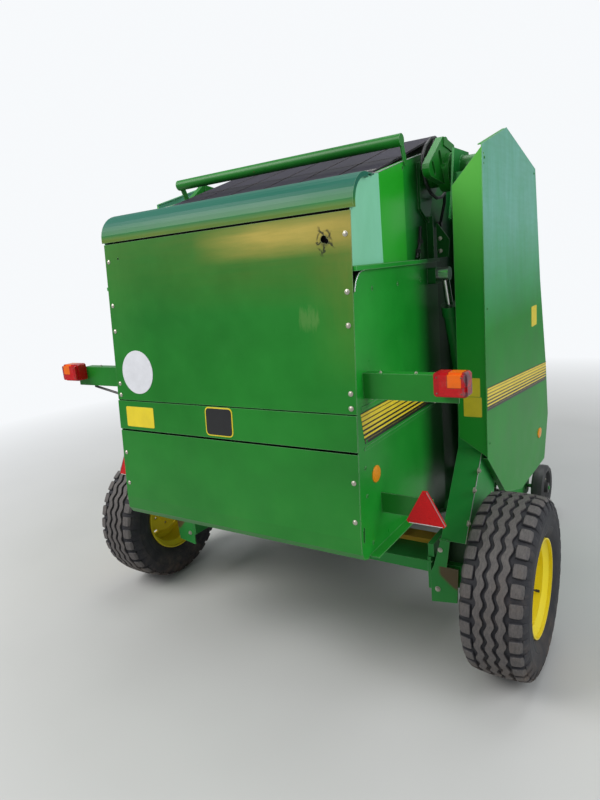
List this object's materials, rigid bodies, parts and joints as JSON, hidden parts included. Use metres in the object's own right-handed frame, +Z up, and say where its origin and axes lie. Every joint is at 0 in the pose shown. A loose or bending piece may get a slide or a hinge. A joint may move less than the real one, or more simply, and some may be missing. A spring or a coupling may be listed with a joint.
{
  "type": "variable-chamber round baler",
  "caption": "Trailed round baler with belts round an open bale chamber, a hinged tail gate with lift cylinders, pickup, drawbar and parking jack.",
  "frame": {"origin": "on the ground under the middle of the machine's box", "axes": "+X the machine's right, +Y the way it travels, from the tail gate to the hitch eye, +Z up"},
  "size_m": [2.356, 3.7888, 2.308],
  "materials": {
    "green_paint": "glossy green paint",
    "yellow_paint": "glossy yellow paint",
    "tyre_rubber": "worn tyre rubber",
    "belt_rubber": "smooth rubber belting",
    "bare_steel": "worn bare steel",
    "chrome_rod": "polished",
    "black_paint": "black paint",
    "black_plastic": "shaft guard",
    "red_lens": "red lens"
  },
  "bodies": {
    "root": {"axle_beam": "green_paint", "axle_arms": "green_paint", "yellow_bar": "yellow_paint", "side_rails": "green_paint", "frame_wall_left": "green_paint", "frame_wall_right": "green_paint", "frame_posts": "green_paint", "top_tube": "green_paint", "tension_arms": "green_paint", "front_panel": "green_paint", "front_beam": "green_paint", "frame_rollers": "bare_steel", "frame_belts": "belt_rubber", "frame_brackets": "green_paint", "drawbar": "green_paint", "gearbox": "green_paint", "drive_chain": "bare_steel", "driveline": "black_plastic", "hose_loop": "black_plastic", "twine_box": "green_paint", "jack_tube": "green_paint"},
    "gate": {"gate_side_left": "green_paint", "gate_side_right": "green_paint", "rear_panel_upper": "green_paint", "rear_band": "green_paint", "rear_panel_lower": "green_paint", "gate_cover": "green_paint", "gate_tube": "green_paint", "gate_rollers": "bare_steel", "gate_belts": "belt_rubber", "gate_hose": "black_plastic", "lamp_arms": "green_paint", "lamps": "red_lens", "triangles": "red_lens"},
    "wheel_left": {"tyre_left": "tyre_rubber", "rim_left": "yellow_paint"},
    "wheel_right": {"tyre_right": "tyre_rubber", "rim_right": "yellow_paint"},
    "barrel_left": {"lift_barrel_left": "black_paint"},
    "rod_left": {"lift_rod_left": "chrome_rod"},
    "barrel_right": {"lift_barrel_right": "black_paint"},
    "rod_right": {"lift_rod_right": "chrome_rod"},
    "shield_left": {"shield_left": "green_paint"},
    "shield_right": {"shield_right": "green_paint"},
    "pickup": {"pickup_frame": "green_paint", "stripper_bands": "green_paint", "wind_guard": "green_paint"},
    "reel": {"pickup_reel": "bare_steel"},
    "gauge_left": {"gauge_wheel_left": "tyre_rubber"},
    "gauge_right": {"gauge_wheel_right": "tyre_rubber"},
    "lid": {"twine_lid": "green_paint"},
    "jack": {"jack_leg": "bare_steel"}
  },
  "joints": [
    {"name": "gate_hinge", "type": "hinge", "parent": "root", "child": "gate", "pos_m": [0, -0.9675, 2.11], "axis": [-1, 0, 0], "range_deg": [0, 60]},
    {"name": "wheel_spin_left", "type": "hinge", "parent": "root", "child": "wheel_left", "pos_m": [-1.046, -1.3275, 0.38], "axis": [1, 0, 0], "continuous": true},
    {"name": "barrel_swing_left", "type": "hinge", "parent": "root", "child": "barrel_left", "pos_m": [-0.7, -0.6875, 0.6], "axis": [1, 0, 0], "range_deg": [0, 7.71]},
    {"name": "rod_slide_left", "type": "slide", "parent": "barrel_left", "child": "rod_left", "axis": [0, -0.341, 0.94], "range_m": [0, 0.4181]},
    {"name": "wheel_spin_right", "type": "hinge", "parent": "root", "child": "wheel_right", "pos_m": [1.046, -1.3275, 0.38], "axis": [1, 0, 0], "continuous": true},
    {"name": "barrel_swing_right", "type": "hinge", "parent": "root", "child": "barrel_right", "pos_m": [0.7, -0.6875, 0.6], "axis": [1, 0, 0], "range_deg": [0, 7.71]},
    {"name": "rod_slide_right", "type": "slide", "parent": "barrel_right", "child": "rod_right", "axis": [0, -0.341, 0.94], "range_m": [0, 0.4181]},
    {"name": "shield_hinge_left", "type": "hinge", "parent": "root", "child": "shield_left", "pos_m": [-0.883, -0.11561, 1.48], "axis": [0, 0.2925, -0.9563], "range_deg": [0, 80]},
    {"name": "shield_hinge_right", "type": "hinge", "parent": "root", "child": "shield_right", "pos_m": [0.883, -0.11561, 1.48], "axis": [0, -0.2925, 0.9563], "range_deg": [0, 80]},
    {"name": "pickup_lift", "type": "hinge", "parent": "root", "child": "pickup", "pos_m": [0, -0.2725, 0.64], "axis": [1, 0, 0], "range_deg": [0, 9]},
    {"name": "reel_spin", "type": "hinge", "parent": "pickup", "child": "reel", "pos_m": [0, 0.1025, 0.335], "axis": [1, 0, 0], "continuous": true},
    {"name": "gauge_spin_left", "type": "hinge", "parent": "pickup", "child": "gauge_left", "pos_m": [-0.83, 0.2825, 0.19], "axis": [1, 0, 0], "continuous": true},
    {"name": "gauge_spin_right", "type": "hinge", "parent": "pickup", "child": "gauge_right", "pos_m": [0.83, 0.2825, 0.19], "axis": [1, 0, 0], "continuous": true},
    {"name": "lid_hinge", "type": "hinge", "parent": "root", "child": "lid", "pos_m": [0, -0.1075, 1.65], "axis": [1, 0, 0], "range_deg": [0, 95]},
    {"name": "jack_slide", "type": "slide", "parent": "root", "child": "jack", "axis": [0, 0, 1], "range_m": [-0.1, 0.2]}
  ],
  "couplings": [
    {"joint": "barrel_swing_left", "follows": "gate_hinge", "ratio": 0.12018},
    {"joint": "rod_slide_left", "follows": "gate_hinge", "m_per_rad": 0.39732},
    {"joint": "barrel_swing_right", "follows": "gate_hinge", "ratio": 0.12018},
    {"joint": "rod_slide_right", "follows": "gate_hinge", "m_per_rad": 0.39732}
  ]
}
